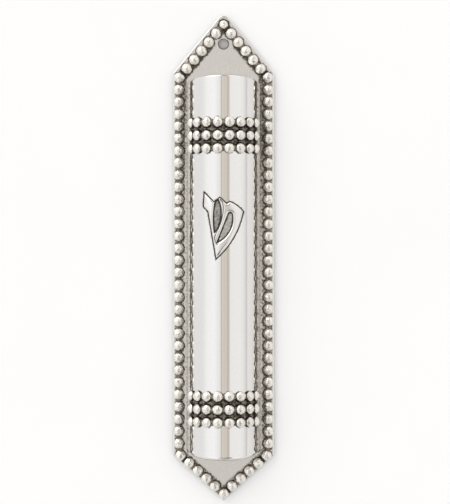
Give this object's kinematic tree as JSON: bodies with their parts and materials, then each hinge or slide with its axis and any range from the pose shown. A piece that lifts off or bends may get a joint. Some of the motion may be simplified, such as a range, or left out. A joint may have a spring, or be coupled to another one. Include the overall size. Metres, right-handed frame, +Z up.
{
  "type": "mezuzah case",
  "caption": "Long pointed wall case with a beaded border, a polished half-round front, two beaded bands and a sliding rear cover over its scroll.",
  "frame": {"origin": "centre of the nail hole, on the rear face of the back plate", "axes": "+Z up along the case, +X to the right seen from the front, -Y out of the front"},
  "size_m": [0.0334, 0.0148, 0.16],
  "materials": {
    "satin_silver": "satin",
    "polished_silver": "polished",
    "bead_silver": "gloss",
    "oxidised_silver": "satin",
    "emblem_silver": "gloss",
    "rear_silver": "satin",
    "parchment": "matte",
    "clear_sleeve": "gloss"
  },
  "bodies": {
    "case": {"back_plate": "satin_silver", "case_shell": "polished_silver", "top_end_cap": "polished_silver", "bottom_end_cap": "polished_silver", "left_border_beads": "bead_silver", "right_border_beads": "bead_silver", "upper_left_border_beads": "bead_silver", "upper_right_border_beads": "bead_silver", "lower_left_border_beads": "bead_silver", "lower_right_border_beads": "bead_silver", "upper_band_strip": "oxidised_silver", "upper_band_bead_row_1": "bead_silver", "upper_band_bead_row_2": "bead_silver", "upper_band_bead_row_3": "bead_silver", "lower_band_strip": "oxidised_silver", "lower_band_bead_row_1": "bead_silver", "lower_band_bead_row_2": "bead_silver", "lower_band_bead_row_3": "bead_silver", "shin_emblem": "emblem_silver", "left_guide_rail": "rear_silver", "right_guide_rail": "rear_silver", "cover_stop": "rear_silver", "parchment_scroll": "parchment", "scroll_sleeve": "clear_sleeve"},
    "cover": {"rear_cover": "rear_silver"}
  },
  "joints": [
    {"name": "cover_slide", "type": "slide", "parent": "case", "child": "cover", "axis": [0, 0, 1], "range_m": [0, 0.122]}
  ]
}
